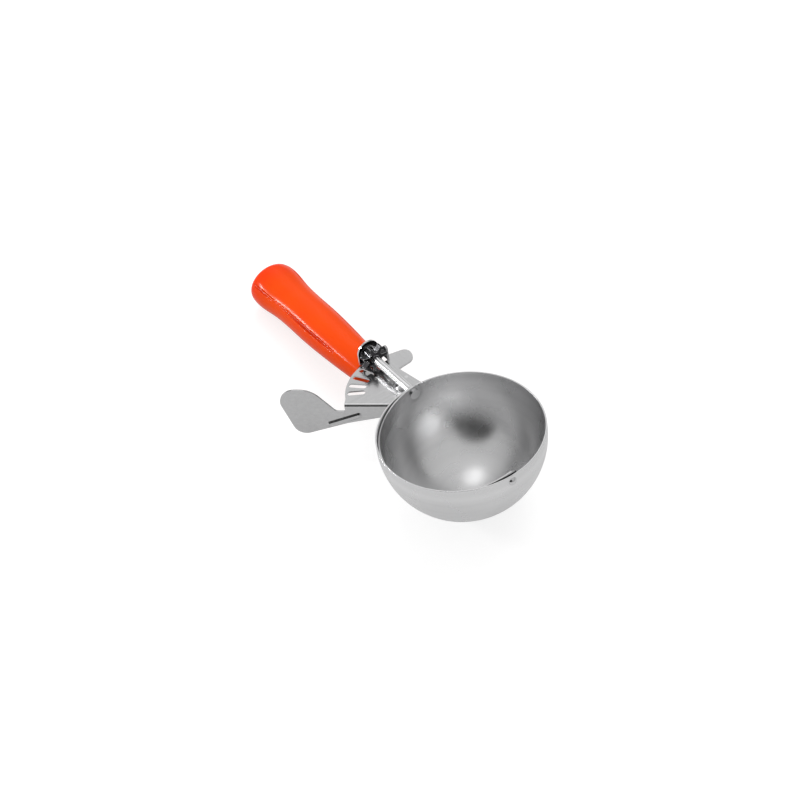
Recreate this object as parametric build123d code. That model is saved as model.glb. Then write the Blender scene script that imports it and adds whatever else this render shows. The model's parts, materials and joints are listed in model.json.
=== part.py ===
from build123d import *
import os
from math import asin, atan2, ceil, cos, degrees, hypot, pi, radians, sin, sqrt

# Thumb lever ice cream scoop, in millimetres.
# Working frame: +X runs along the shaft from the handle to the bowl's front,
# +Z comes out of the bowl's mouth, and the origin is the centre of the bowl's sphere.
# finish() then lays the scoop down on its bowl and the butt of its handle.

# Bowl
BOWL_R = 47.0            # outside radius
BOWL_WALL = 0.9
BAND_H = 4.2             # straight band above the half sphere
RIM_ROUND = 0.25

# Scraper blade
BLADE_GAP = 0.35         # between the blade and the bowl
BLADE_T = 0.8
BLADE_W = 11.0
BLADE_REST = 7.5         # degrees below level, on the lever's side

# Shaft and its fits
SHAFT_R = 2.5
RUN = 0.05               # radial clearance of a running fit
TENON_R = 1.8            # shaft's end through the blade
TENON_HEAD_R = 3.0
TENON_HEAD_T = 1.0
TAIL_OUT = 2.2           # shaft's tail behind the front plate

# Bush in the bowl's rear wall
BUSH_WALL = 0.8
BUSH_FLANGE_R = 4.0
BUSH_FLANGE_T = 0.9

# Front pivot pin and its washer
PIN_R = 1.6
PIN_HEAD_R = 2.5
PIN_DOME_H = 1.5
PIN_INNER_R = 2.6
PIN_INNER_T = 0.8
PIN_WASHER_R = 3.2
PIN_WASHER_T = 0.4
PIN_PLAY = 0.1           # along the pin, between the blade and the washer

# Pinion and sector
PINION_TEETH = 7
SECTOR_TEETH = 28        # slots that a full circle would have
PINION_PITCH_R = 6.55
PINION_TIP_R = 8.4
PINION_ROOT_R = 4.5
PINION_W = 3.5
TOOTH_ROOT_W = 2.7
TOOTH_TIP_W = 1.2
TOOTH_ROUND = 0.4
HUB_R = 3.9
KEY_PIN_R = 0.75
THRUST_T = 0.4
THRUST_R = 4.6
CLIP_T = 0.8
CLIP_R = 4.4
CLIP_GROOVE = 0.4        # depth of the clip's groove
CLIP_BACK = 0.3          # play between the clip and the front plate
CLIP_GAP = 2.8           # mouth of the clip

# Thumb lever: plate, fold, flange and tab
LEVER_T = 1.0
PIVOT_BACK = 11.7        # pivot behind the bowl's wall
FOLD_ANGLE = 47.7        # fold line at rest, from the handle towards the thumb side
FOLD_DIST = 13.1         # outer face of the flange from the pivot
BEND_IN_R = 0.8          # inside radius of the fold
SLOT_COUNT = 5
SLOT_FIRST = 3.2         # degrees from the pinion to the first slot, at rest
SLOT_INWARD = 5.8        # slot's reach from the pitch circle, towards the pivot
SLOT_OUTWARD = 4.5       # and away from it
SLOT_W = 3.2
SECTOR_RIM = 1.2         # metal beyond the slots
SECTOR_CLEAR = 0.95      # between the sector and the front plate
SECTOR_EDGE = 8.9        # degrees from the first slot's centre to the plate's free edge
SECTOR_END = 62.0        # degrees from the pinion to the end of the sector's arc
SECTOR_ROUND = 1.5
HUB_PLATE_R = 7.0        # round of the plate about the pivot
PLATE_U = 30.9           # plate's end along the fold
PLATE_FRONT = 0.5        # plate's front end past the pivot, along the fold
FLANGE_FRONT_H = 5.2     # flange's height at its front end
LEVER_TRAVEL = 41.25     # degrees

# Tab's corners: distance along the fold, height over the shaft's axis, corner radius
TAB_MID = (30.0, -19.7, 60.0)
TAB_LOW = (59.6, -29.6, 7.0)
TAB_TIP = (70.6, 5.2, 9.5)
TAB_TOP = (48.9, 5.2, 14.0)
TAB_NECK = (36.2, -10.8, 2.4)

# Embossed bead on the flange
BEAD_START = (23.6, -14.0)
BEAD_END = (40.8, -20.7)
BEAD_W = 4.0
BEAD_H = 0.75
BEAD_TAPER = 58.0

# Frame plate
FRAME_T = 1.4
STRIP_Y = 0.5            # frame's thumb side edge, at the pinion
LUG_R = 3.7              # lug about the pivot
SIDE_Y = 10.1            # frame's finger side, beside the pinion
WAIST_Y = 7.7            # finger side, where the finger rest ends
FOOT_Y = 11.0            # finger side, at the bowl
FOOT_THUMB_Y = 7.6       # thumb side, at the bowl
FOOT_L = 6.2             # foot's end from the pivot
FOOT_SIDE_ROUND = 12.0   # outline's rounds at the foot
FOOT_THUMB_ROUND = 2.0
WINDOW_GAP = 0.75        # frame's end in front of the pinion
NECK_GAP = 0.6           # between the neck and the pinion's teeth
FRAME_ROUND = 1.6
EAR_T = 1.2
EAR_FRONT = 2.4          # ear's front edge behind the pinion's front face
EAR_TOP = 2.4
EAR_PEAK_BACK = 1.6      # peak behind the ear's front edge
EAR_REAR_H = 3.2         # ear's height at the front plate
EAR_ROUND = 1.5
EAR_BEND_IN_R = 0.5      # inside radius of the fold between the frame plate and its ear

# Finger rest, part of the frame plate
REST_ROOT_REAR = 1.1     # rear root, behind the pinion's mid plane
REST_ROOT_L = 13.6       # along the frame's edge
REST_OUT = 11.2          # beyond the frame's edge
REST_LEAN = 3.0          # tip's lean towards the bowl
REST_ROUND = 4.4

# Saddle on the bowl
SADDLE_T = 1.2
SADDLE_Y = 14.0
SADDLE_LOW = 14.0
SADDLE_HIGH = -0.4
SADDLE_ROUND = 4.0
SADDLE_HOLE_GAP = 0.3
WELD_BALL_R = 3.0        # ball that presses a spot weld's dimple
WELD_DEPTH = 0.3
WELD_Y = 9.5             # spot welds' places on the saddle
WELD_Z = (-10.8, -3.2)

# Front plate
FRONT_T = 1.2
FRONT_ARCH_R = 6.8
FRONT_ARCH_Y = 0.9       # arch's middle from the shaft's axis
FRONT_SHOULDER = 1.6     # straight sides' end below the frame plate
STEM_Y = 4.4             # half width of the stem that takes the tang
STEM_END = 3.4           # below the tang

# Tang
TANG_W = 12.0
TANG_T = 3.0
TANG_L = 88.0
TENON_W = 7.0

# Grip
GRIP_DROP = 15.3         # grip's axis below the shaft's axis
GRIP_L = 105.4
GRIP_FLAT = 0.87         # height of a section over its width
GRIP_FRONT_A = 9.9       # half widths
GRIP_SHOULDER_A = 12.0
GRIP_MID_A = 13.1
GRIP_NECK_A = 13.8
GRIP_BUTT_A = 15.0
GRIP_SHOULDER_AT = 26.0  # distance behind the grip's front
GRIP_MID_AT = 54.0
GRIP_NECK_BACK = 21.0    # distance in front of the grip's end
GRIP_BUTT_BACK = 8.5
GRIP_END_L = 6.0         # length of the rounded end
GRIP_END_A = 11.6        # half width of the flat end
GRIP_END_IN = 0.1        # narrowing from the butt to where its end starts to round
FLUTE_L = 76.0
FLUTE_R = 1.2            # radius of the groove
FLUTE_DEPTH = 0.7
FLUTE_UP = 34.0          # degrees above the grip's side
FLUTE_AT = 67.0          # flute's middle behind the grip's front

# Pivot rivet and washers
RIVET_R = 2.0
RIVET_HEAD_R = 3.0
RIVET_HEAD_H = 1.4
RIVET_FOOT_R = 3.4
RIVET_FOOT_T = 1.1
LEVER_WASHER_T = 0.35
LEVER_WASHER_R = 5.5
SPRING_WASHER_T = 0.6
SPRING_WASHER_R = 5.4

# Return spring
WIRE_R = 0.5
COIL_R = 4.0
COIL_WHOLE = 3           # full turns, before the part turn between the legs
COIL_PITCH = 1.15
COIL_PLAY = 0.2          # between the coil and what is above and below it
BEND_EXTRA = 0.03        # thickening of the wire at its two bends
SPRING_U = 13.0          # where the moving leg meets the flange

# Studs on the frame
STUD_R = 1.1
STOP_GAP = 0.06          # between a stop pin and the lever that rests on it
STOP_LIP = 0.9           # stop pins' ends below the lever's plate
STOP_OUT = 8.6           # pressed stop's distance from the pivot
POST_OUT = 10.6          # spring post's distance from the pivot
POST_ANGLE = 46.0        # degrees from the bowl's direction to the finger side

# Places that follow from the sizes
BOWL_IN_R = BOWL_R - BOWL_WALL
BLADE_R = BOWL_IN_R - BLADE_GAP
BUSH_R = SHAFT_R + RUN + BUSH_WALL
PIVOT_X = -(BOWL_R + PIVOT_BACK)
RATIO = SECTOR_TEETH / PINION_TEETH
SECTOR_PITCH_R = PINION_PITCH_R * RATIO
SLOT_STEP = 360 / SECTOR_TEETH
PINION_X = PIVOT_X - SECTOR_PITCH_R
PINION_FRONT = PINION_X + PINION_W / 2
PINION_BACK = PINION_X - PINION_W / 2
SLOT_IN_R = SECTOR_PITCH_R - SLOT_INWARD
SLOT_OUT_R = SECTOR_PITCH_R + SLOT_OUTWARD
SECTOR_R = SLOT_OUT_R + SECTOR_RIM
FRONT_X = PIVOT_X - SECTOR_R - SECTOR_CLEAR
HUB_BACK = FRONT_X + THRUST_T
HUB_MID = (HUB_BACK + PINION_BACK) / 2
GRIP_X = FRONT_X - FRONT_T
LEVER_Z = -PINION_PITCH_R
LEVER_TOP = LEVER_Z + LEVER_T / 2
LEVER_LOW = LEVER_Z - LEVER_T / 2
FRAME_LOW = LEVER_TOP + LEVER_WASHER_T
FRAME_TOP = FRAME_LOW + FRAME_T
PIN_FOOT_X = sqrt((BLADE_R - BLADE_T) ** 2 - PIN_WASHER_R ** 2) - PIN_PLAY - PIN_WASHER_T

# Return spring's legs, seen from above in the lever's frame (along the fold, across it)
LEG_REACH = FOLD_DIST - LEVER_T - WIRE_R - STOP_GAP
UPPER_LEG = sqrt(SPRING_U ** 2 + LEG_REACH ** 2 - COIL_R ** 2)
COIL_END = degrees(atan2(LEG_REACH, SPRING_U) + atan2(UPPER_LEG, COIL_R))
POST_SIDE = COIL_R + WIRE_R + STUD_R
COIL_START = POST_ANGLE - 180 - FOLD_ANGLE - degrees(atan2(sqrt(POST_OUT ** 2 - POST_SIDE ** 2), POST_SIDE))
COIL_TURNS = COIL_WHOLE + ((COIL_START - COIL_END) % 360) / 360
COIL_TOP = LEVER_LOW - COIL_PLAY
COIL_LOW = COIL_TOP - COIL_TURNS * COIL_PITCH - 2 * WIRE_R
SPRING_WASHER_Z = COIL_LOW - COIL_PLAY - SPRING_WASHER_T


def about_x(radius, x0, x1):
    """Round bar along the shaft's axis, from x0 to x1."""
    return Pos(x0, 0, 0) * (Rot(0, 90, 0) * Cylinder(radius, x1 - x0, align=(Align.CENTER, Align.CENTER, Align.MIN)))


def about_z(radius, x, y, z0, z1):
    """Upright round bar at x, y, from z0 to z1."""
    return Pos(x, y, z0) * Cylinder(radius, z1 - z0, align=(Align.CENTER, Align.CENTER, Align.MIN))


def slab(outline, z0, z1):
    """Level plate of a sketch's outline, from z0 to z1."""
    return Pos(0, 0, z0) * extrude(outline, z1 - z0)


def rounded(corners):
    """Closed face through corners given as (x, y, corner radius)."""
    points = [(x, y) for x, y, _ in corners]
    face = make_face(Polyline(*points, close=True))
    for x, y, radius in corners:
        if radius > 0:
            vertex = face.vertices().sort_by_distance((x, y, 0))[0]
            face = fillet(vertex, radius)
    return face


def dome(radius, height):
    """Spherical cap on the plane z = 0."""
    ball_r = (radius ** 2 + height ** 2) / (2 * height)
    cap = Pos(0, 0, height - ball_r) * Sphere(ball_r)
    return cap & Cylinder(radius, height, align=(Align.CENTER, Align.CENTER, Align.MIN))


def lever_frame(shape):
    """Take a shape from the lever's own frame (along the fold, across it, up) to its rest place."""
    return Pos(PIVOT_X, 0, 0) * (Rot(0, 0, 180 + FOLD_ANGLE) * shape)


def bowl_block(radius):
    """Solid ball about the bowl's centre, made straight where the band is."""
    return Sphere(radius) + Cylinder(radius, 2 * BAND_H, align=(Align.CENTER, Align.CENTER, Align.MIN))


def make_bowl():
    with BuildPart() as part:
        with BuildSketch(Plane.XZ):
            with BuildLine():
                RadiusArc((0, -BOWL_R), (BOWL_R, 0), -BOWL_R)
                Polyline((BOWL_R, 0), (BOWL_R, BAND_H), (BOWL_IN_R, BAND_H), (BOWL_IN_R, 0))
                RadiusArc((0, -BOWL_IN_R), (BOWL_IN_R, 0), -BOWL_IN_R)
                Line((0, -BOWL_IN_R), (0, -BOWL_R))
            make_face()
        revolve(axis=Axis.Z)
        rim = part.edges().filter_by(GeomType.CIRCLE).group_by(Axis.Z)[-1]
        fillet(rim, RIM_ROUND)
    bowl = part.part - about_x(BUSH_R, -BOWL_R - 1, -BOWL_IN_R / 2)
    return bowl - about_x(PIN_R, BOWL_IN_R / 2, BOWL_R + 1)


def make_scraper_blade():
    half = BLADE_W / 2
    inner = BLADE_R - BLADE_T
    out_x = sqrt(BLADE_R ** 2 - half ** 2)
    in_x = sqrt(inner ** 2 - half ** 2)
    with BuildPart() as part:
        with BuildSketch(Plane.XY):
            with BuildLine():
                ThreePointArc((out_x, -half), (BLADE_R, 0), (out_x, half))
                Line((out_x, half), (in_x, half))
                ThreePointArc((in_x, half), (inner, 0), (in_x, -half))
                Line((in_x, -half), (out_x, -half))
            make_face()
        revolve(axis=Axis.Y)
    above = Box(2.2 * BLADE_R, 2 * BLADE_W, 1.1 * BLADE_R, align=(Align.CENTER, Align.CENTER, Align.MIN))
    above -= about_x(half, -1.2 * BLADE_R, 1.2 * BLADE_R)
    blade = part.part - above
    blade -= about_x(TENON_R, -BOWL_R, 0)
    blade -= about_x(PIN_R + RUN, 0, BOWL_R)
    return Rot(BLADE_REST - 90, 0, 0) * blade


def make_scraper_shaft():
    tail = GRIP_X - TAIL_OUT
    shoulder = -BLADE_R
    seat = -sqrt((BLADE_R - BLADE_T) ** 2 - TENON_HEAD_R ** 2)
    groove = GRIP_X - CLIP_BACK
    shaft = about_x(SHAFT_R, tail, shoulder)
    shaft += about_x(TENON_R, shoulder, seat + TENON_HEAD_T)
    shaft += about_x(TENON_HEAD_R, seat, seat + TENON_HEAD_T)
    shaft -= about_x(SHAFT_R + 1, groove - CLIP_T, groove) - about_x(SHAFT_R - CLIP_GROOVE, groove - CLIP_T, groove)
    shaft -= Pos(HUB_MID, 0, 0) * Cylinder(KEY_PIN_R, 4 * SHAFT_R)
    return shaft


def make_pinion_gear():
    tooth = rounded([
        (-TOOTH_ROOT_W / 2, 0, 0), (TOOTH_ROOT_W / 2, 0, 0), (TOOTH_ROOT_W / 2, PINION_ROOT_R, 0),
        (TOOTH_TIP_W / 2, PINION_TIP_R, TOOTH_ROUND), (-TOOTH_TIP_W / 2, PINION_TIP_R, TOOTH_ROUND),
        (-TOOTH_ROOT_W / 2, PINION_ROOT_R, 0),
    ])
    outline = Circle(PINION_ROOT_R)
    first = 180 - SLOT_FIRST * RATIO
    for k in range(PINION_TEETH):
        outline += Rot(0, 0, first + k * 360 / PINION_TEETH) * tooth
    upright = Plane.YZ * outline
    gear = Pos(PINION_BACK, 0, 0) * extrude(upright, PINION_W)
    gear += about_x(HUB_R, HUB_BACK, PINION_BACK)
    gear -= about_x(SHAFT_R, HUB_BACK - 1, PINION_FRONT + 1)
    gear -= Pos(HUB_MID, 0, 0) * Cylinder(KEY_PIN_R, 4 * HUB_R)
    return gear


def make_pinion_pin():
    return Pos(HUB_MID, 0, 0) * Cylinder(KEY_PIN_R, 2 * HUB_R - 0.4)


def make_thrust_washer():
    return about_x(THRUST_R, FRONT_X, HUB_BACK) - about_x(SHAFT_R, FRONT_X - 1, HUB_BACK + 1)


def make_shaft_clip():
    groove = GRIP_X - CLIP_BACK
    clip = about_x(CLIP_R, groove - CLIP_T, groove)
    clip -= about_x(SHAFT_R - CLIP_GROOVE, groove - CLIP_T - 1, groove + 1)
    mouth = Pos(groove - CLIP_T / 2, 0, CLIP_R) * Box(2 * CLIP_T, CLIP_GAP, 2 * CLIP_R)
    return clip - mouth


def make_bowl_bush():
    bush = about_x(BUSH_R, -BOWL_R, -BOWL_IN_R + 1)
    bush += about_x(BUSH_FLANGE_R, -BOWL_R - BUSH_FLANGE_T, -BOWL_IN_R + 1) - bowl_block(BOWL_R)
    bush -= about_x(SHAFT_R + RUN, -BOWL_R - 5, 0)
    return bush - bowl_block(BOWL_IN_R)


def make_front_pivot_pin():
    pin = about_x(PIN_R, PIN_FOOT_X - PIN_INNER_T, BOWL_R)
    pin += about_x(PIN_INNER_R, PIN_FOOT_X - PIN_INNER_T, PIN_FOOT_X)
    return pin + Pos(BOWL_R, 0, 0) * (Rot(0, 90, 0) * dome(PIN_HEAD_R, PIN_DOME_H))


def make_front_pin_washer():
    ring = about_x(PIN_WASHER_R, PIN_FOOT_X, PIN_FOOT_X + PIN_WASHER_T)
    return ring - about_x(PIN_R, PIN_FOOT_X - 1, PIN_FOOT_X + 1)


def frame_outline():
    """Level part of the frame plate: strip, lug, foot at the bowl, neck beside the pinion and finger rest."""
    strip_end = PINION_FRONT + WINDOW_GAP
    neck = sqrt(PINION_TIP_R ** 2 - FRAME_TOP ** 2) + NECK_GAP
    rest_rear = PINION_X - REST_ROOT_REAR
    rest_front = rest_rear + REST_ROOT_L
    foot = PIVOT_X + FOOT_L
    outline = rounded([
        (-BOWL_IN_R / 2, -FOOT_THUMB_Y, 0), (-BOWL_IN_R / 2, FOOT_Y, 0), (foot, FOOT_Y, FOOT_SIDE_ROUND),
        (rest_front, WAIST_Y, 0), (rest_front, SIDE_Y, 0), (FRONT_X, SIDE_Y, 0), (FRONT_X, neck, 0),
        (strip_end, neck, FRAME_ROUND), (strip_end, STRIP_Y, FRAME_ROUND), (PIVOT_X, -LUG_R / 2, 0),
        (foot, -FOOT_THUMB_Y, FOOT_THUMB_ROUND),
    ])
    rest = rounded([
        (rest_rear, SIDE_Y - 1, 0), (rest_front, WAIST_Y, 0),
        (rest_front - 0.6, SIDE_Y + REST_OUT - 1.4, REST_ROUND + 1.4),
        (rest_rear + REST_LEAN, SIDE_Y + REST_OUT, REST_ROUND),
    ])
    return outline + Pos(PIVOT_X, 0) * Circle(LUG_R) + rest


def make_frame_plate():
    plate = slab(frame_outline(), FRAME_LOW, FRAME_TOP)
    ear_front = PINION_FRONT - EAR_FRONT
    ear = rounded([
        (FRONT_X, FRAME_LOW, 0), (ear_front, FRAME_LOW, 0), (ear_front, EAR_TOP - EAR_PEAK_BACK, EAR_ROUND),
        (ear_front - EAR_PEAK_BACK, EAR_TOP, EAR_ROUND), (FRONT_X, FRAME_LOW + EAR_REAR_H, 0),
    ])
    plate += Pos(0, SIDE_Y, 0) * extrude(Plane.XZ * ear, EAR_T)
    corner = plate.edges().filter_by(Axis.X).sort_by_distance((ear_front, SIDE_Y - EAR_T, FRAME_TOP))[0]
    plate = fillet(corner, EAR_BEND_IN_R)
    plate -= bowl_block(BOWL_R + SADDLE_T)
    plate -= about_z(RIVET_R, PIVOT_X, 0, FRAME_LOW - 1, FRAME_TOP + 1)
    for x, y in stud_places():
        plate -= about_z(STUD_R, x, y, FRAME_LOW - 1, FRAME_TOP + 1)
    return plate


def make_bowl_bracket():
    outline = rounded([
        (-SADDLE_Y, -SADDLE_LOW, SADDLE_ROUND), (SADDLE_Y, -SADDLE_LOW, SADDLE_ROUND),
        (SADDLE_Y, SADDLE_HIGH, SADDLE_ROUND), (-SADDLE_Y, SADDLE_HIGH, SADDLE_ROUND),
    ])
    block = Pos(-BOWL_R - 5, 0, 0) * extrude(Plane.YZ * outline, BOWL_R / 2)
    saddle = (block & bowl_block(BOWL_R + SADDLE_T)) - bowl_block(BOWL_R)
    saddle -= about_x(BUSH_FLANGE_R + SADDLE_HOLE_GAP, -2 * BOWL_R, 0)
    reach = BOWL_R + SADDLE_T + WELD_BALL_R - WELD_DEPTH
    for y in (-WELD_Y, WELD_Y):
        for z in WELD_Z:
            ball = Rot(0, 90, 0) * Sphere(WELD_BALL_R)
            saddle -= Pos(-sqrt(reach ** 2 - y ** 2 - z ** 2), y, z) * ball
    return saddle


def make_front_plate():
    """Arch round the shaft, with a tab for the frame's ear and a stem down to the tang."""
    low = FRAME_LOW - FRONT_SHOULDER
    stem_low = -GRIP_DROP - TANG_T / 2 - STEM_END
    arch_low = Rectangle(2 * FRONT_ARCH_R, -low, align=(Align.CENTER, Align.MAX))
    stem = RectangleRounded(2 * STEM_Y, -stem_low, STEM_Y / 2, align=(Align.CENTER, Align.MAX))
    outline = Pos(FRONT_ARCH_Y, 0) * (Circle(FRONT_ARCH_R) + arch_low)
    outline += stem
    outline += Pos(SIDE_Y / 2, FRAME_LOW + EAR_REAR_H / 2) * Rectangle(SIDE_Y, EAR_REAR_H)
    plate = Pos(GRIP_X, 0, 0) * extrude(Plane.YZ * outline, FRONT_T)
    plate -= about_x(SHAFT_R + RUN, GRIP_X - 1, FRONT_X + 1)
    return plate - tang_tenon()


def tang_tenon():
    return Pos(GRIP_X, 0, -GRIP_DROP) * Box(FRONT_T, TENON_W, TANG_T, align=(Align.MIN, Align.CENTER, Align.CENTER))


def tang_bar():
    return Pos(GRIP_X, 0, -GRIP_DROP) * Box(TANG_L, TANG_W, TANG_T, align=(Align.MAX, Align.CENTER, Align.CENTER))


def make_handle_tang():
    return tang_bar() + tang_tenon()


def flute_cutter(side):
    """Bent pipe, in the turned grip's frame, that dips into its side and comes out at both ends."""
    reach = 0.6 * FLUTE_L
    lift = FLUTE_DEPTH * (2 * reach / FLUTE_L) ** 2
    path = ThreePointArc((-reach, lift, 0), (0, 0, 0), (reach, lift, 0))
    pipe = sweep(Plane(origin=path @ 0, z_dir=path % 0) * Circle(FLUTE_R), path=path)
    flare = degrees(atan2(GRIP_NECK_A - GRIP_FRONT_A, GRIP_L - GRIP_NECK_BACK))
    dipped = Pos(-FLUTE_AT, GRIP_MID_A + FLUTE_R - FLUTE_DEPTH, 0) * (Rot(0, 0, -flare) * pipe)
    return Rot(FLUTE_UP if side > 0 else 180 - FLUTE_UP, 0, 0) * dipped


def grip_profile():
    """Half of the grip's outline, seen from above, from its front at x = 0 back to its end, with a stub to trim."""
    end_start = (GRIP_END_L - GRIP_L, GRIP_BUTT_A - GRIP_END_IN)
    with BuildLine() as line:
        side = Spline(
            (0, GRIP_FRONT_A), (-GRIP_SHOULDER_AT, GRIP_SHOULDER_A), (-GRIP_MID_AT, GRIP_MID_A),
            (GRIP_NECK_BACK - GRIP_L, GRIP_NECK_A), (GRIP_BUTT_BACK - GRIP_L, GRIP_BUTT_A), end_start)
        Spline(end_start, (-GRIP_L, GRIP_END_A), tangents=[side % 1, (-0.15, -1)])
        Polyline(
            (-GRIP_L, GRIP_END_A), (-GRIP_L - 1, GRIP_END_A), (-GRIP_L - 1, 0), (1, 0), (1, GRIP_FRONT_A),
            (0, GRIP_FRONT_A))
    return line.line


def make_handle_grip():
    """Turned shape, squashed to an oval section, with its axis below the shaft's."""
    with BuildPart() as part:
        with BuildSketch(Plane.XY):
            with BuildLine():
                add(grip_profile())
            make_face()
        revolve(axis=Axis.X)
    fluted = part.part - flute_cutter(-1) - flute_cutter(1)
    grip = scale(fluted, (1, 1, GRIP_FLAT))
    grip &= Box(GRIP_L, 4 * GRIP_BUTT_A, 4 * GRIP_BUTT_A, align=(Align.MAX, Align.CENTER, Align.CENTER))
    grip = Pos(GRIP_X, 0, -GRIP_DROP) * grip
    return grip - tang_bar()


def slot_outline(angle):
    """Radial slot in the sector; angle is from the pinion towards the thumb side."""
    middle = (SLOT_IN_R + SLOT_OUT_R) / 2
    slot = SlotOverall(SLOT_OUT_R - SLOT_IN_R, SLOT_W)
    return Rot(0, 0, angle - FOLD_ANGLE) * (Pos(middle, 0) * slot)


def sector_outline():
    """Level part of the lever, in the lever's frame: sector, hub and the plate up to the fold."""
    edge = radians(SLOT_FIRST - SECTOR_EDGE - FOLD_ANGLE)
    end = radians(SECTOR_END - FOLD_ANGLE)
    middle = (edge + end) / 2
    flat_end = FOLD_DIST - LEVER_T - BEND_IN_R
    with BuildSketch() as sketch:
        with BuildLine():
            Line((0, 0), (SECTOR_R * cos(edge), SECTOR_R * sin(edge)))
            ThreePointArc(
                (SECTOR_R * cos(edge), SECTOR_R * sin(edge)),
                (SECTOR_R * cos(middle), SECTOR_R * sin(middle)),
                (SECTOR_R * cos(end), SECTOR_R * sin(end)))
            Polyline(
                (SECTOR_R * cos(end), SECTOR_R * sin(end)), (PLATE_U, flat_end), (-PLATE_FRONT, flat_end),
                (-PLATE_FRONT, 0), (0, 0))
        make_face()
        corner = sketch.vertices().sort_by_distance((SECTOR_R * cos(edge), SECTOR_R * sin(edge), 0))[0]
        fillet(corner, SECTOR_ROUND)
    outline = sketch.sketch + Circle(HUB_PLATE_R)
    for k in range(SLOT_COUNT):
        outline -= slot_outline(SLOT_FIRST + k * SLOT_STEP)
    return outline


def lever_bend():
    """Quarter turn of sheet between the plate and the flange."""
    centre = FOLD_DIST - LEVER_T - BEND_IN_R
    outer = BEND_IN_R + LEVER_T
    ring = Circle(outer) - Circle(BEND_IN_R)
    ring &= Rectangle(outer, outer, align=(Align.MIN, Align.MIN))
    length = PLATE_U + PLATE_FRONT
    return Pos(-PLATE_FRONT, centre, LEVER_TOP - outer) * extrude(Plane.YZ * ring, length)


def flange_outline():
    top = LEVER_TOP - BEND_IN_R - LEVER_T
    return rounded([
        (-PLATE_FRONT, top, 0), (-PLATE_FRONT, top - FLANGE_FRONT_H, 1.0), TAB_MID, TAB_LOW, TAB_TIP, TAB_TOP,
        TAB_NECK, (PLATE_U, TAB_NECK[1], 0.6), (PLATE_U, top, 0),
    ])


def bead(width):
    """Tapered obround, upright in the flange's plane, that stands out from the plane y = 0 towards +y."""
    run = hypot(BEAD_END[0] - BEAD_START[0], BEAD_END[1] - BEAD_START[1])
    tilt = degrees(atan2(BEAD_END[1] - BEAD_START[1], BEAD_END[0] - BEAD_START[0]))
    middle = ((BEAD_START[0] + BEAD_END[0]) / 2, (BEAD_START[1] + BEAD_END[1]) / 2)
    slot = Pos(*middle) * (Rot(0, 0, tilt) * SlotCenterToCenter(run, width))
    return extrude(Plane.XZ * slot, -BEAD_H, taper=BEAD_TAPER)


def make_thumb_lever():
    lever = slab(sector_outline(), LEVER_LOW, LEVER_TOP)
    lever += lever_bend()
    flange = extrude(Plane.XZ * flange_outline(), -LEVER_T)
    lever += Pos(0, FOLD_DIST - LEVER_T, 0) * flange
    lever += Pos(0, FOLD_DIST, 0) * bead(BEAD_W)
    lever -= Pos(0, FOLD_DIST - LEVER_T, 0) * bead(BEAD_W - LEVER_T / 2)
    lever -= about_z(RIVET_R + RUN, 0, 0, LEVER_LOW - 1, LEVER_TOP + 1)
    return lever_frame(lever)


def make_pivot_rivet():
    foot = SPRING_WASHER_Z
    rivet = about_z(RIVET_R, PIVOT_X, 0, foot, FRAME_TOP)
    rivet += about_z(RIVET_FOOT_R, PIVOT_X, 0, foot - RIVET_FOOT_T, foot)
    return rivet + Pos(PIVOT_X, 0, FRAME_TOP) * dome(RIVET_HEAD_R, RIVET_HEAD_H)


def make_lever_washer():
    ring = about_z(LEVER_WASHER_R, PIVOT_X, 0, LEVER_TOP, FRAME_LOW)
    return ring - about_z(RIVET_R, PIVOT_X, 0, LEVER_TOP - 1, FRAME_LOW + 1)


def make_spring_washer():
    ring = about_z(SPRING_WASHER_R, PIVOT_X, 0, SPRING_WASHER_Z, SPRING_WASHER_Z + SPRING_WASHER_T)
    return ring - about_z(RIVET_R, PIVOT_X, 0, SPRING_WASHER_Z - 1, SPRING_WASHER_Z + 2)


def stop_places():
    """Rest stop at the front of the lever's fold, and the stop that its free edge reaches when pressed."""
    fold = radians(180 + FOLD_ANGLE)
    along = -(PLATE_FRONT + STOP_GAP + STUD_R)
    across = FOLD_DIST - LEVER_T - BEND_IN_R - STUD_R
    rest = (PIVOT_X + along * cos(fold) - across * sin(fold), along * sin(fold) + across * cos(fold))
    free_edge = SECTOR_EDGE - SLOT_FIRST + LEVER_TRAVEL
    pressed = radians(180 - free_edge - degrees(asin((STUD_R + STOP_GAP) / STOP_OUT)))
    return [rest, (PIVOT_X + STOP_OUT * cos(pressed), STOP_OUT * sin(pressed))]


def post_place():
    angle = radians(POST_ANGLE)
    return (PIVOT_X + POST_OUT * cos(angle), POST_OUT * sin(angle))


def stud_places():
    return stop_places() + [post_place()]


def make_lever_stop_pins():
    return Compound(children=[about_z(STUD_R, x, y, LEVER_LOW - STOP_LIP, FRAME_TOP) for x, y in stop_places()])


def make_spring_post():
    x, y = post_place()
    return about_z(STUD_R, x, y, COIL_LOW - WIRE_R, FRAME_TOP)


def spring_leg(wire_end, direction, length):
    """Level straight piece of wire from the end of the coil, with a ball at the bend that joins them."""
    level = Vector(direction.X, direction.Y, 0)
    bar = Cylinder(WIRE_R, length, align=(Align.CENTER, Align.CENTER, Align.MIN))
    return Plane(origin=wire_end, z_dir=level) * (bar + Sphere(WIRE_R + BEND_EXTRA))


def make_return_spring():
    """Left-hand torsion spring: lower leg against the post, upper leg on the flange's inside."""
    helix = Helix(COIL_PITCH, COIL_TURNS * COIL_PITCH, COIL_R, lefthand=True)
    coil = sweep(Plane(origin=helix @ 0, z_dir=helix % 0) * Circle(WIRE_R), path=helix, is_frenet=True)
    lower_leg = sqrt(POST_OUT ** 2 - POST_SIDE ** 2) + STUD_R
    coil += spring_leg(helix @ 0, -(helix % 0), lower_leg)
    coil += spring_leg(helix @ 1, helix % 1, UPPER_LEG)
    return lever_frame(Pos(0, 0, COIL_LOW + WIRE_R) * (Rot(0, 0, COIL_START) * coil))


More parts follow.
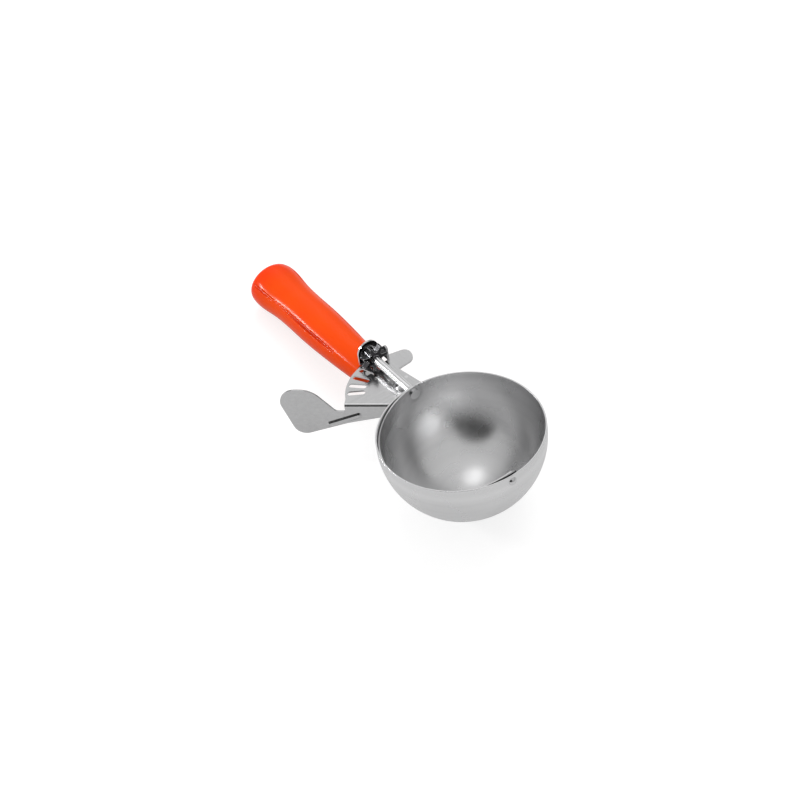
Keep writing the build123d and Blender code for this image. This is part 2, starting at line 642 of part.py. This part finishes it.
def rest_tilt():
    """Nose-up angle at which the bowl and the underside of the grip both touch a table."""
    angles = []
    for edge in grip_profile().edges():
        for step in range(61):
            point = edge @ (step / 60)
            x, z = GRIP_X + point.X, -GRIP_DROP - point.Y * GRIP_FLAT
            angles.append(asin(BOWL_R / hypot(x, z)) - atan2(-z, -x))
    return degrees(min(angles))


MAKERS = {
    "bowl": make_bowl,
    "bowl_bracket": make_bowl_bracket,
    "bowl_bush": make_bowl_bush,
    "front_pivot_pin": make_front_pivot_pin,
    "front_pin_washer": make_front_pin_washer,
    "scraper_blade": make_scraper_blade,
    "scraper_shaft": make_scraper_shaft,
    "pinion_gear": make_pinion_gear,
    "pinion_pin": make_pinion_pin,
    "thrust_washer": make_thrust_washer,
    "shaft_clip": make_shaft_clip,
    "frame_plate": make_frame_plate,
    "front_plate": make_front_plate,
    "handle_tang": make_handle_tang,
    "handle_grip": make_handle_grip,
    "thumb_lever": make_thumb_lever,
    "pivot_rivet": make_pivot_rivet,
    "lever_washer": make_lever_washer,
    "spring_washer": make_spring_washer,
    "return_spring": make_return_spring,
    "spring_post": make_spring_post,
    "lever_stop_pins": make_lever_stop_pins,
}


def to_table(pieces):
    """Turn the pieces to their resting slant, and put the lowest point under the middle on the origin."""
    tilt = Rot(0, -rest_tilt(), 0)
    tilted = {name: tilt * piece for name, piece in pieces.items()}
    boxes = [piece.bounding_box() for piece in tilted.values()]
    middle_x = (min(box.min.X for box in boxes) + max(box.max.X for box in boxes)) / 2
    middle_y = (min(box.min.Y for box in boxes) + max(box.max.Y for box in boxes)) / 2
    move = Pos(-middle_x, -middle_y, -min(box.min.Z for box in boxes))
    return {name: move * piece for name, piece in tilted.items()}


def main():
    os.makedirs("parts", exist_ok=True)
    pieces = {name: make() for name, make in MAKERS.items()}
    for name, piece in to_table(pieces).items():
        piece.label = name
        export_step(piece, f"parts/{name}.step")


main()
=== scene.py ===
import json
import math
import bpy
from mathutils import Matrix, Vector

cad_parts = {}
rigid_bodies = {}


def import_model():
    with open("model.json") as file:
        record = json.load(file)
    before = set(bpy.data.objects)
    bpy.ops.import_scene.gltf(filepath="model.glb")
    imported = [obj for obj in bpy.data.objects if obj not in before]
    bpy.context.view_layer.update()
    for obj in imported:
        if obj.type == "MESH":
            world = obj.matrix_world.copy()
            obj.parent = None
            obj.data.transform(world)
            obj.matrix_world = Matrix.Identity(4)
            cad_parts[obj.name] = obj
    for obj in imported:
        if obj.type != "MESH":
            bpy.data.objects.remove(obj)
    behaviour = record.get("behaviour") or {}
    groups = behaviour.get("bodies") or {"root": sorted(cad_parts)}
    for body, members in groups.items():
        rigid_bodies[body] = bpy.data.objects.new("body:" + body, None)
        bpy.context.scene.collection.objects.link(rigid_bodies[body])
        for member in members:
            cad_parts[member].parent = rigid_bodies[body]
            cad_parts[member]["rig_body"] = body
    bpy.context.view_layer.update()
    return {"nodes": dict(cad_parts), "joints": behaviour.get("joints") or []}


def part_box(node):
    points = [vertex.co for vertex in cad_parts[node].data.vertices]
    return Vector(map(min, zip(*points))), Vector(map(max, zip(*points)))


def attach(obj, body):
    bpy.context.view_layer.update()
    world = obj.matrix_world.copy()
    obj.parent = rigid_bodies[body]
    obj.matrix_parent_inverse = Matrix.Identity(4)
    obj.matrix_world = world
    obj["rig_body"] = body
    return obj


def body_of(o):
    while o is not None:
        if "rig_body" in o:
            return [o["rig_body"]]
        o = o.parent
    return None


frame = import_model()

# Camera: where it stands, which way it looks, and its lens, from the picture's perspective
CAMERA_AT = (0.9253, -0.5496, 1.1949)
CAMERA_RIGHT = (0.57821, 0.81334, -0.06446)
CAMERA_UP = (-0.57851, 0.46442, 0.67055)
LENS_MM = 126.74
SENSOR_MM = 36.0

# Floor and light
FLOOR_SIZE = 6.0
FLOOR_COLOUR = (0.42, 0.42, 0.42)
FLOOR_GLOW = 0.72             # what the camera sees on top of the lit floor
MIRROR_GLOW = 0.36            # the same for mirror and glass rays
SKY_FILL = 0.66               # even light from all round, for rays that no mirror sends
SKY_MIRROR = 1.6              # factor on all that mirrors see of the world
# Grey levels of the world in mirrors: place from straight below (0) to overhead (1), level
SKY_STOPS = [(0.0, 0.50), (0.475, 0.45), (0.50, 0.26), (0.60, 0.30), (1.0, 0.42)]
STRIP_FROM = (-0.66, -0.66, 0.33)
STRIP_AWAY = 1.3
STRIP_SIZE = (0.36, 0.045)
STRIP_POWER = 6.0
TOP_FROM = (-0.45, 0.55, 0.95)
TOP_AWAY = 3.0
TOP_SIZE = (2.4, 2.4)
TOP_POWER = 34.0
CARD_FROM = (0.53, -0.74, 0.42)   # middle of a dark card that mirrors see beside the camera
CARD_EDGE = (0.82, 0.90)          # cosines where its edge starts and ends
CARD_LEVEL = 0.04
# Bright cards that mirrors see: middle, cosines where the edge starts and ends, level
WINDOWS = [((-0.71, 0.35, 0.61), 0.91, 0.975, 0.57), ((-0.38, 0.0, 0.92), 0.965, 0.985, 1.0)]

# Colours, linear
STEEL = (0.66, 0.66, 0.665)
BRIGHT_STEEL = (0.86, 0.86, 0.865)
BOWL_STEEL = (0.75, 0.75, 0.755)
SATIN_STEEL = (0.56, 0.56, 0.565)
# Painted dark: stands in for the dark that polished faces reflect, and for shade
PAINTED_DARK = (0.035, 0.035, 0.037)
ORANGE = (0.98, 0.080, 0.004)
RED_ORANGE = (0.90, 0.035, 0.004)

# Grip, metres
BUTT_FADE = 0.025             # length over which the butt's deeper colour fades
SHADE_REACH = 0.002          # how near a hollow's walls are where painted shade darkens it
EDGE_SOFTNESS = 0.0006        # radius to which its sharp edges look rounded

# Lower corner of the front plate, painted dark as shade, millimetres from the bowl's middle: left, right,
# top, low, back, front
PLATE_CORNER = (4.2, 7.6, -7.2, -20.0, -92.65, -91.65)


def unit(direction):
    return Vector(direction).normalized()


# Directions of the scoop itself: along its shaft, and out of its bowl's mouth
spin = next(joint for joint in frame["joints"] if joint["name"] == "scraper_spin")
ALONG = unit(spin["axis"])
OUT = unit(ALONG.cross(Vector((0, 1, 0))))
BOWL_MID = Vector(spin["pos_m"])


class Tree:
    """Small helper to write a node tree."""

    def __init__(self, owner):
        owner.use_nodes = True
        self.nodes = owner.node_tree.nodes
        self.links = owner.node_tree.links
        self.nodes.clear()

    def add(self, kind, **settings):
        node = self.nodes.new(kind)
        for name, value in settings.items():
            setattr(node, name, value)
        return node

    def feed(self, socket, value):
        if isinstance(value, bpy.types.NodeSocket):
            self.links.new(value, socket)
        elif value is not None:
            socket.default_value = value

    def math(self, operation, a, b=None):
        node = self.add("ShaderNodeMath", operation=operation)
        self.feed(node.inputs[0], a)
        self.feed(node.inputs[1], b)
        return node.outputs[0]

    def remap(self, value, source, target, smooth=False):
        node = self.add("ShaderNodeMapRange", interpolation_type="SMOOTHSTEP" if smooth else "LINEAR")
        self.feed(node.inputs["Value"], value)
        node.inputs["From Min"].default_value, node.inputs["From Max"].default_value = source
        node.inputs["To Min"].default_value, node.inputs["To Max"].default_value = target
        return node.outputs["Result"]

    def blend(self, factor, a, b):
        node = self.add("ShaderNodeMix", data_type="RGBA")
        self.feed(node.inputs["Factor"], factor)
        self.feed(node.inputs["A"], a)
        self.feed(node.inputs["B"], b)
        return node.outputs["Result"]

    def scoop_coords(self, centre=(0, 0, 0), stretch=(1, 1, 1)):
        """Object coordinates turned to the shaft's direction and stretched."""
        coords = self.add("ShaderNodeTexCoord")
        shift = self.add("ShaderNodeMapping", vector_type="POINT")
        shift.inputs["Location"].default_value = [-value for value in centre]
        self.feed(shift.inputs["Vector"], coords.outputs["Object"])
        turn = self.add("ShaderNodeMapping", vector_type="POINT")
        turn.inputs["Rotation"].default_value = (0, math.atan2(ALONG.z, ALONG.x), 0)
        self.feed(turn.inputs["Vector"], shift.outputs["Vector"])
        scale = self.add("ShaderNodeMapping", vector_type="POINT")
        scale.inputs["Scale"].default_value = stretch
        self.feed(scale.inputs["Vector"], turn.outputs["Vector"])
        return scale.outputs["Vector"]

    def noise(self, vector, scale, detail=3.0):
        node = self.add("ShaderNodeTexNoise")
        self.feed(node.inputs["Vector"], vector)
        node.inputs["Scale"].default_value = scale
        node.inputs["Detail"].default_value = detail
        return node.outputs["Fac"]

    def noise_along(self, value, scale, detail=3.0):
        node = self.add("ShaderNodeTexNoise", noise_dimensions="1D")
        self.feed(node.inputs["W"], value)
        node.inputs["Scale"].default_value = scale
        node.inputs["Detail"].default_value = detail
        return node.outputs["Fac"]

    def bump(self, height, distance, normal=None):
        node = self.add("ShaderNodeBump")
        self.feed(node.inputs["Height"], height)
        node.inputs["Distance"].default_value = distance
        self.feed(node.inputs["Normal"], normal)
        return node.outputs["Normal"]

    def rounded(self, radius):
        """Normals with the sharp edges rounded off."""
        node = self.add("ShaderNodeBevel", samples=8)
        node.inputs["Radius"].default_value = radius
        return node.outputs["Normal"]

    def closeness(self, a, b):
        """Cosine between two directions."""
        node = self.add("ShaderNodeVectorMath", operation="DOT_PRODUCT")
        self.feed(node.inputs[0], a)
        self.feed(node.inputs[1], b)
        return node.outputs["Value"]

    def surface(self, **values):
        shader = self.add("ShaderNodeBsdfPrincipled")
        for name, value in values.items():
            self.feed(shader.inputs[name.replace("_", " ")], value)
        out = self.add("ShaderNodeOutputMaterial")
        self.links.new(shader.outputs[0], out.inputs["Surface"])


def rgba(colour):
    return (*colour, 1.0)


def tint(colour, factor):
    return tuple(min(1.0, factor * value) for value in colour)


def steel(name, colour, rough, grain=(40, 900, 900), streak=0.05, scratch=2e-6, painted_dark_face=None):
    """Metal with a grain; grain gives the noise's frequency along the shaft, across it and up.
    painted_dark_face, where given, is painted on the sides that are square to the shaft: a painted dark
    reflection of what those polished sides mirror."""
    material = bpy.data.materials.new(name)
    tree = Tree(material)
    lines = tree.noise(tree.scoop_coords(stretch=grain), 1.0, 4.0)
    patches = tree.noise(tree.scoop_coords(), 60.0, 2.0)
    mixed = tree.math("ADD", tree.math("MULTIPLY", lines, 0.65), tree.math("MULTIPLY", patches, 0.35))
    dark, light = rgba(tint(colour, 1 - streak)), rgba(tint(colour, 1 + streak))
    shade = tree.blend(tree.remap(mixed, (0.35, 0.65), (0, 1)), dark, light)
    if painted_dark_face:
        side = tree.add("ShaderNodeTexCoord").outputs["Normal"]
        towards = tree.math("ABSOLUTE", tree.closeness(side, ALONG))
        # Painted dark reflection: sides square to the shaft take the painted dark colour
        shade = tree.blend(tree.remap(towards, (0.75, 0.95), (0, 1)), shade, rgba(painted_dark_face))
    tree.surface(
        Base_Color=shade, Metallic=1.0,
        Roughness=tree.remap(mixed, (0.3, 0.7), (0.85 * rough, 1.2 * rough)),
        Normal=tree.bump(lines, scratch))
    return material


def painted_dark_steel(name, rough, glint_width):
    """Steel painted dark for the dark it reflects, with painted glints along its sharp edges; glint_width is
    the width of the bright rim.
    """
    material = bpy.data.materials.new(name)
    tree = Tree(material)
    patches = tree.noise(tree.scoop_coords(), 300.0, 3.0)
    # Painted dark reflection, varied at random
    dark = tree.blend(patches, rgba(PAINTED_DARK), rgba(tint(PAINTED_DARK, 2.4)))
    rounded = tree.rounded(glint_width)
    glint_edge = tree.closeness(rounded, tree.add("ShaderNodeNewGeometry").outputs["Normal"])
    # Painted glint: edges where the rounded normal turns away are painted bright steel
    shade = tree.blend(tree.remap(glint_edge, (0.86, 0.97), (1, 0), smooth=True), dark, rgba(BRIGHT_STEEL))
    tree.surface(
        Base_Color=shade, Metallic=1.0,
        Roughness=tree.remap(patches, (0.3, 0.7), (0.8 * rough, 1.3 * rough)), Normal=rounded)
    return material


def spun_steel(name, colour, rough):
    """Bowl metal, spun on a lathe: fine rings about the axis that comes out of the mouth."""
    material = bpy.data.materials.new(name)
    tree = Tree(material)
    place = tree.add("ShaderNodeSeparateXYZ")
    tree.feed(place.inputs[0], tree.scoop_coords(centre=BOWL_MID))
    x, y, z = place.outputs
    flat = tree.math("SQRT", tree.math("ADD", tree.math("MULTIPLY", x, x), tree.math("MULTIPLY", y, y)))
    latitude = tree.math("ARCTAN2", flat, tree.math("MULTIPLY", z, -1.0))
    rings = tree.noise_along(latitude, 260.0, 4.0)
    wide = tree.noise_along(latitude, 9.0, 1.0)
    smudge = tree.noise(tree.scoop_coords(), 45.0, 3.0)
    shade = tree.blend(
        tree.remap(tree.math("ADD", rings, wide), (0.7, 1.3), (0, 1)), rgba(tint(colour, 0.965)),
        rgba(tint(colour, 1.035)))
    tree.surface(
        Base_Color=shade, Metallic=1.0,
        Roughness=tree.remap(smudge, (0.3, 0.7), (0.85 * rough, 1.25 * rough)),
        Normal=tree.bump(rings, 1.5e-6))
    return material


def grip_plastic():
    """Glossy moulded plastic, deeper in colour at the butt, with painted shade in its hollows and a slight
    orange peel.
    """
    material = bpy.data.materials.new("orange_plastic")
    tree = Tree(material)
    place = tree.add("ShaderNodeSeparateXYZ")
    tree.feed(place.inputs[0], tree.scoop_coords())
    low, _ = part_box("handle_grip")
    butt = tree.remap(place.outputs["X"], (low[0], low[0] + BUTT_FADE), (0.80, 0.0), smooth=True)
    cloud = tree.remap(tree.noise(tree.scoop_coords(), 38.0, 3.0), (0.4, 0.75), (0.0, 0.30))
    colour = tree.blend(tree.math("ADD", butt, cloud), rgba(ORANGE), rgba(RED_ORANGE))
    # Painted shade: darker red in the groove and near other parts, where shade falls
    crevice_shade = tree.add("ShaderNodeAmbientOcclusion", samples=8, only_local=True)
    crevice_shade.inputs["Distance"].default_value = SHADE_REACH
    shaded = tree.remap(crevice_shade.outputs["AO"], (0.70, 0.95), (1.0, 0.0))
    colour = tree.blend(shaded, colour, rgba(tint(RED_ORANGE, 0.72)))
    peel = tree.noise(tree.scoop_coords(), 420.0, 2.0)
    tree.surface(
        Base_Color=colour, Roughness=tree.remap(peel, (0.3, 0.7), (0.15, 0.19)), IOR=1.5,
        Specular_IOR_Level=0.10, Normal=tree.bump(peel, 1.5e-6, normal=tree.rounded(EDGE_SOFTNESS)))
    return material


def floor_material():
    """Pale floor that takes the shadow. It glows up to white for the camera, and to light grey in mirrors."""
    material = bpy.data.materials.new("pale_floor")
    tree = Tree(material)
    grain = tree.noise(tree.add("ShaderNodeTexCoord").outputs["Object"], 3.0, 2.0)
    pale = tree.blend(grain, rgba(tint(FLOOR_COLOUR, 0.995)), rgba(tint(FLOOR_COLOUR, 1.005)))
    diffuse = tree.add("ShaderNodeBsdfDiffuse")
    tree.feed(diffuse.inputs["Color"], pale)
    path = tree.add("ShaderNodeLightPath")
    mirror = tree.math("MAXIMUM", path.outputs["Is Glossy Ray"], path.outputs["Is Transmission Ray"])
    seen = tree.math("MULTIPLY", path.outputs["Is Camera Ray"], FLOOR_GLOW)
    glow = tree.add("ShaderNodeEmission")
    tree.feed(glow.inputs["Strength"], tree.math("ADD", seen, tree.math("MULTIPLY", mirror, MIRROR_GLOW)))
    both = tree.add("ShaderNodeAddShader")
    tree.links.new(diffuse.outputs[0], both.inputs[0])
    tree.links.new(glow.outputs[0], both.inputs[1])
    out = tree.add("ShaderNodeOutputMaterial")
    tree.links.new(both.outputs[0], out.inputs["Surface"])
    return material


def make_floor():
    half = FLOOR_SIZE / 2
    mesh = bpy.data.meshes.new("floor")
    corners = [(-half, -half, 0), (half, -half, 0), (half, half, 0), (-half, half, 0)]
    mesh.from_pydata(corners, [], [(0, 1, 2, 3)])
    floor = bpy.data.objects.new("floor", mesh)
    bpy.context.collection.objects.link(floor)
    mesh.materials.append(floor_material())


def make_world():
    """Light tent: white for the camera, grey with bright and dark cards in mirrors, else an even fill."""
    world = bpy.data.worlds.new("tent")
    bpy.context.scene.world = world
    tree = Tree(world)
    towards = tree.add("ShaderNodeTexCoord").outputs["Generated"]
    place = tree.add("ShaderNodeSeparateXYZ")
    tree.feed(place.inputs[0], towards)
    ramp = tree.add("ShaderNodeValToRGB")
    tree.feed(ramp.inputs["Fac"], tree.remap(place.outputs["Z"], (-1, 1), (0, 1)))
    while len(ramp.color_ramp.elements) < len(SKY_STOPS):
        ramp.color_ramp.elements.new(0.5)
    for element, (at, level) in zip(ramp.color_ramp.elements, SKY_STOPS):
        element.position = at
        element.color = (level, level, level, 1)
    card = tree.remap(tree.closeness(towards, unit(CARD_FROM)), CARD_EDGE, (1.0, CARD_LEVEL), smooth=True)
    sky = ramp.outputs["Color"]
    for middle, edge, inside, level in WINDOWS:
        near = tree.closeness(towards, unit(middle))
        window = tree.remap(near, (edge, inside), (0.0, level), smooth=True)
        sky = tree.math("MAXIMUM", sky, window)
    path = tree.add("ShaderNodeLightPath")
    mirror = tree.math("MAXIMUM", path.outputs["Is Glossy Ray"], path.outputs["Is Transmission Ray"])
    fill = (SKY_FILL, SKY_FILL, SKY_FILL, 1)
    seen = tree.blend(mirror, fill, sky)
    seen = tree.blend(path.outputs["Is Camera Ray"], seen, (1, 1, 1, 1))
    strength = tree.blend(mirror, (1, 1, 1, 1), tree.math("MULTIPLY", card, SKY_MIRROR))
    background = tree.add("ShaderNodeBackground")
    tree.feed(background.inputs["Color"], seen)
    tree.feed(background.inputs["Strength"], strength)
    out = tree.add("ShaderNodeOutputWorld")
    tree.links.new(background.outputs[0], out.inputs["Surface"])


def aim(thing, target):
    direction = Vector(target) - thing.location
    thing.rotation_euler = direction.to_track_quat("-Z", "Y").to_euler()


def make_lamp(name, direction, away, target, size, power, mirrored=True):
    lamp = bpy.data.lights.new(name, "AREA")
    lamp.shape = "RECTANGLE"
    lamp.size, lamp.size_y = size
    lamp.energy = power
    thing = bpy.data.objects.new(name, lamp)
    bpy.context.collection.objects.link(thing)
    thing.location = Vector(target) + away * unit(direction)
    thing.visible_glossy = mirrored
    aim(thing, target)


def make_camera():
    camera = bpy.data.cameras.new("camera")
    camera.lens = LENS_MM
    camera.sensor_width = SENSOR_MM
    camera.sensor_fit = "HORIZONTAL"
    camera.clip_end = 20
    thing = bpy.data.objects.new("camera", camera)
    bpy.context.collection.objects.link(thing)
    right, up = unit(CAMERA_RIGHT), unit(CAMERA_UP)
    turn = Matrix((right, up, right.cross(up))).transposed()
    thing.matrix_world = Matrix.Translation(CAMERA_AT) @ turn.to_4x4()
    bpy.context.scene.camera = thing


def make_front_plate_corner():
    """Lower corner of the front plate beside the tang's stem, on the frame's ear side, painted dark as the
    shade over the grip's front there.
    """
    left, right, top, low, back, front = PLATE_CORNER
    corners = []
    for x in (back, front):
        for y, z in ((left, top), (right, top), (right, low), (left, low)):
            corners.append(BOWL_MID + 0.001 * (x * ALONG + y * Vector((0, 1, 0)) + z * OUT))
    mesh = bpy.data.meshes.new("front_plate_corner")
    mesh.from_pydata(corners, [], [
        (0, 1, 2, 3), (7, 6, 5, 4), (0, 4, 5, 1), (1, 5, 6, 2), (2, 6, 7, 3), (3, 7, 4, 0)])
    corner = bpy.data.objects.new("front_plate_corner", mesh)
    bpy.context.collection.objects.link(corner)
    # Painted shade: the corner is painted dark, as is the shade that falls there
    mesh.materials.append(painted_dark_steel("corner_steel", 0.2, 0.0002))
    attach(corner, body_of(frame["nodes"]["front_plate"])[0])


def dress(names, material):
    for name in names:
        node = frame["nodes"][name]
        for slot in node.material_slots:
            slot.material = material


def main():
    make_camera()
    make_floor()
    make_world()
    low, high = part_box("handle_grip")
    grip_mid = (Vector(low) + Vector(high)) / 2
    make_lamp("strip", STRIP_FROM, STRIP_AWAY, grip_mid, STRIP_SIZE, STRIP_POWER)
    make_lamp("top", TOP_FROM, TOP_AWAY, (0, 0, 0), TOP_SIZE, TOP_POWER, mirrored=False)

    dress(["bowl"], spun_steel("bowl_steel", BOWL_STEEL, 0.27))
    dress(["scraper_shaft"], steel("turned_steel", BRIGHT_STEEL, 0.20, grain=(3000, 60, 60)))
    dress(["front_pivot_pin"], steel("pin_steel", STEEL, 0.12, grain=(200, 200, 200), streak=0.03))
    dress(["thumb_lever"], steel("lever_steel", SATIN_STEEL, 0.18, grain=(700, 60, 700)))
    dress(["frame_plate", "bowl_bracket"], steel("frame_steel", SATIN_STEEL, 0.18, grain=(40, 900, 900)))
    # The front plate's faces square to the shaft get a painted dark reflection
    dress(["front_plate"], steel("front_plate_steel", STEEL, 0.20, grain=(900, 900, 40), painted_dark_face=PAINTED_DARK))
    # Pinion: painted dark reflection with painted glints on its edges
    dress(["pinion_gear"], painted_dark_steel("pinion_steel", 0.16, 0.00035))
    dress(["scraper_blade"], steel("blade_steel", STEEL, 0.20, grain=(60, 900, 60)))
    dress(["bowl_bush"], steel("bush_steel", STEEL, 0.22, grain=(3000, 60, 60)))
    dress(["return_spring"], steel("spring_steel", SATIN_STEEL, 0.28, grain=(500, 500, 500)))
    dress(["pivot_rivet", "lever_stop_pins", "spring_post"],
          steel("rivet_steel", STEEL, 0.20, grain=(600, 600, 80)))
    dress(["front_pin_washer", "lever_washer", "spring_washer", "thrust_washer"],
          steel("washer_steel", STEEL, 0.26, grain=(300, 300, 300)))
    dress(["shaft_clip", "pinion_pin"], steel("clip_steel", SATIN_STEEL, 0.30, grain=(300, 300, 300)))
    dress(["handle_tang"], steel("tang_steel", SATIN_STEEL, 0.38, grain=(40, 900, 900)))
    dress(["handle_grip"], grip_plastic())
    make_front_plate_corner()

    bpy.context.scene.view_settings.view_transform = "Standard"


main()
